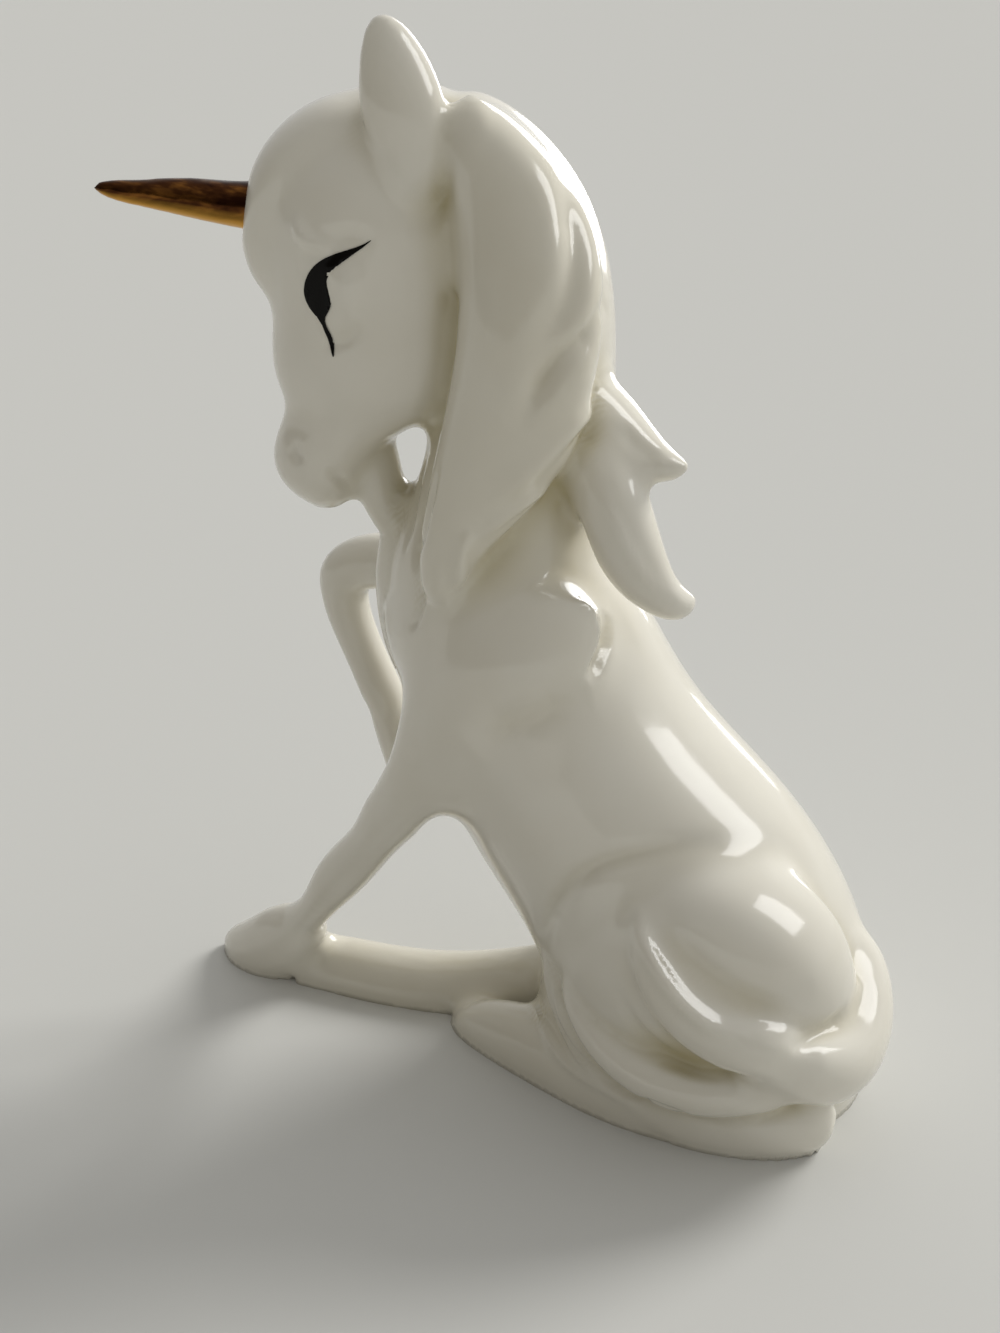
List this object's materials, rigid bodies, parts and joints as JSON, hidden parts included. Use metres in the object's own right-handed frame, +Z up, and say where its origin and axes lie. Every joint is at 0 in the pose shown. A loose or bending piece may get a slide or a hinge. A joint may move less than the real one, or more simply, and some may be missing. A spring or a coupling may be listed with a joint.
{
  "type": "unicorn figurine",
  "caption": "Seated unicorn figurine of white glazed porcelain with a gilded horn, one foreleg raised, and a flat foot to stand on.",
  "frame": {"origin": "on the flat foot, under the haunches, where the figure rests on its surface", "axes": "+Z up, -X the way the figure faces, -Y its own left side, which carries the planted foreleg and the tail"},
  "size_m": [0.0965, 0.0455, 0.1302],
  "materials": {
    "porcelain": "gloss",
    "gilding": "mirror gilt over glaze",
    "eye_enamel": "gloss"
  },
  "bodies": {
    "root": {"trunk": "porcelain", "neck": "porcelain", "head": "porcelain", "horn": "gilding", "forelock": "porcelain", "ear_left": "porcelain", "ear_right": "porcelain", "eye_enamel_left": "eye_enamel", "eye_enamel_right": "eye_enamel", "mane_crest": "porcelain", "mane_lock_left": "porcelain", "mane_lock_right": "porcelain", "mane_curl_upper": "porcelain", "mane_curl_lower": "porcelain", "beard": "porcelain", "chest_lock": "porcelain", "foreleg_left": "porcelain", "front_hoof_left": "porcelain", "foreleg_right": "porcelain", "front_hoof_right": "porcelain", "haunch_left": "porcelain", "haunch_right": "porcelain", "hind_foot_left": "porcelain", "hind_foot_right": "porcelain", "tail_root": "porcelain", "tail_lock_top": "porcelain", "tail_lock_middle": "porcelain", "tail_lock_outer": "porcelain"}
  },
  "joints": []
}
